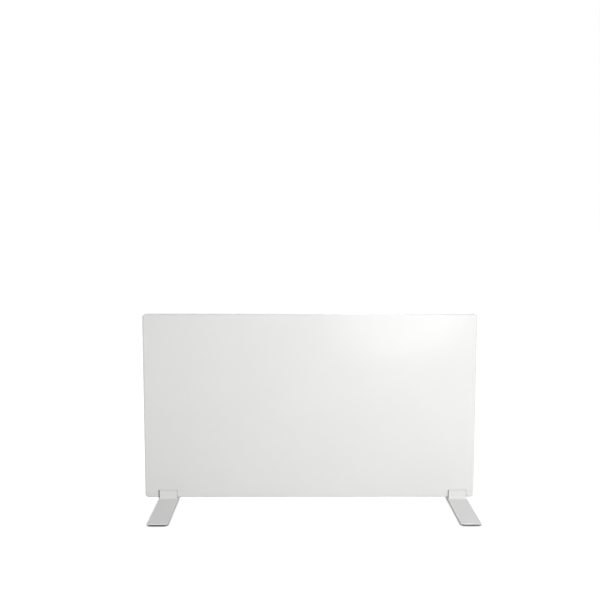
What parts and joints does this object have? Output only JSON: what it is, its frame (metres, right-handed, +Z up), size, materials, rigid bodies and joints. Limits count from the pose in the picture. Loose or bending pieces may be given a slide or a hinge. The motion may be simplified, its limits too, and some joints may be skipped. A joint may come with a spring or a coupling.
{
  "type": "infrared panel heater",
  "caption": "Flat free-standing infrared heating panel in a white sheet-metal case on two clip-on plate feet, with a rear connection box and rocker switch.",
  "frame": {"origin": "on the floor, under the middle of the panel's width and thickness", "axes": "+X along the panel's width, to the right seen from the front; -Y towards the warm front face; +Z up"},
  "size_m": [0.905, 0.41, 0.518],
  "materials": {
    "white_coat": "fine textured white powder coat, satin",
    "back_coat": "white powder coat, satin",
    "zinc_steel": "bright zinc plated",
    "film": "translucent amber film",
    "carbon_track": "printed carbon, matt",
    "foil": "bright rolled foil",
    "tinned_metal": "tinned",
    "fibre_board": "pale fibre board",
    "limiter_plastic": "moulded phenolic",
    "rubber_black": "soft matt rubber",
    "box_plastic": "fine spark-textured moulding",
    "block_plastic": "natural nylon",
    "brass": "turned brass",
    "gland_plastic": "moulded nylon",
    "switch_black": "semi-gloss black",
    "lead_brown": "silicone insulation",
    "lead_blue": "silicone insulation",
    "lead_green": "silicone insulation"
  },
  "bodies": {
    "panel": {"back_cover": "back_coat", "back_cover_screws": "zinc_steel", "box_base": "box_plastic", "box_base_screws": "zinc_steel", "box_lid": "box_plastic", "box_lid_screws": "zinc_steel", "cable_grommet": "rubber_black", "earth_ring": "tinned_metal", "earth_screw": "zinc_steel", "element_back_film": "film", "element_front_film": "film", "element_tabs": "tinned_metal", "foot_inserts": "zinc_steel", "foot_pads": "rubber_black", "foot_screws": "zinc_steel", "foot_washers": "zinc_steel", "front_panel": "white_coat", "gland_body": "gland_plastic", "gland_cap_nut": "gland_plastic", "gland_locknut": "gland_plastic", "gland_seal": "rubber_black", "heating_track": "carbon_track", "insulation_board": "fibre_board", "lead_earth": "lead_green", "lead_heater_live": "lead_brown", "lead_link": "lead_brown", "lead_live_in": "lead_brown", "lead_neutral": "lead_blue", "lead_switched": "lead_brown", "left_foot_plate": "white_coat", "left_saddle": "white_coat", "left_saddle_liner": "rubber_black", "limiter_bodies": "limiter_plastic", "limiter_caps": "foil", "limiter_tabs": "tinned_metal", "reflector_foil": "foil", "right_foot_plate": "white_coat", "right_saddle": "white_coat", "right_saddle_liner": "rubber_black", "saddle_screws": "zinc_steel", "switch_blades": "tinned_metal", "switch_housing": "switch_black", "terminal_barrels": "brass", "terminal_block": "block_plastic", "terminal_clamp_screws": "zinc_steel", "terminal_receptacles": "tinned_metal", "wall_inserts": "zinc_steel"},
    "rocker": {"switch_rocker": "switch_black"}
  },
  "joints": [
    {"name": "rocker_press", "type": "hinge", "parent": "panel", "child": "rocker", "pos_m": [0.409, 0.025, 0.13], "axis": [0, -1, 0], "range_deg": [0, 22]}
  ]
}
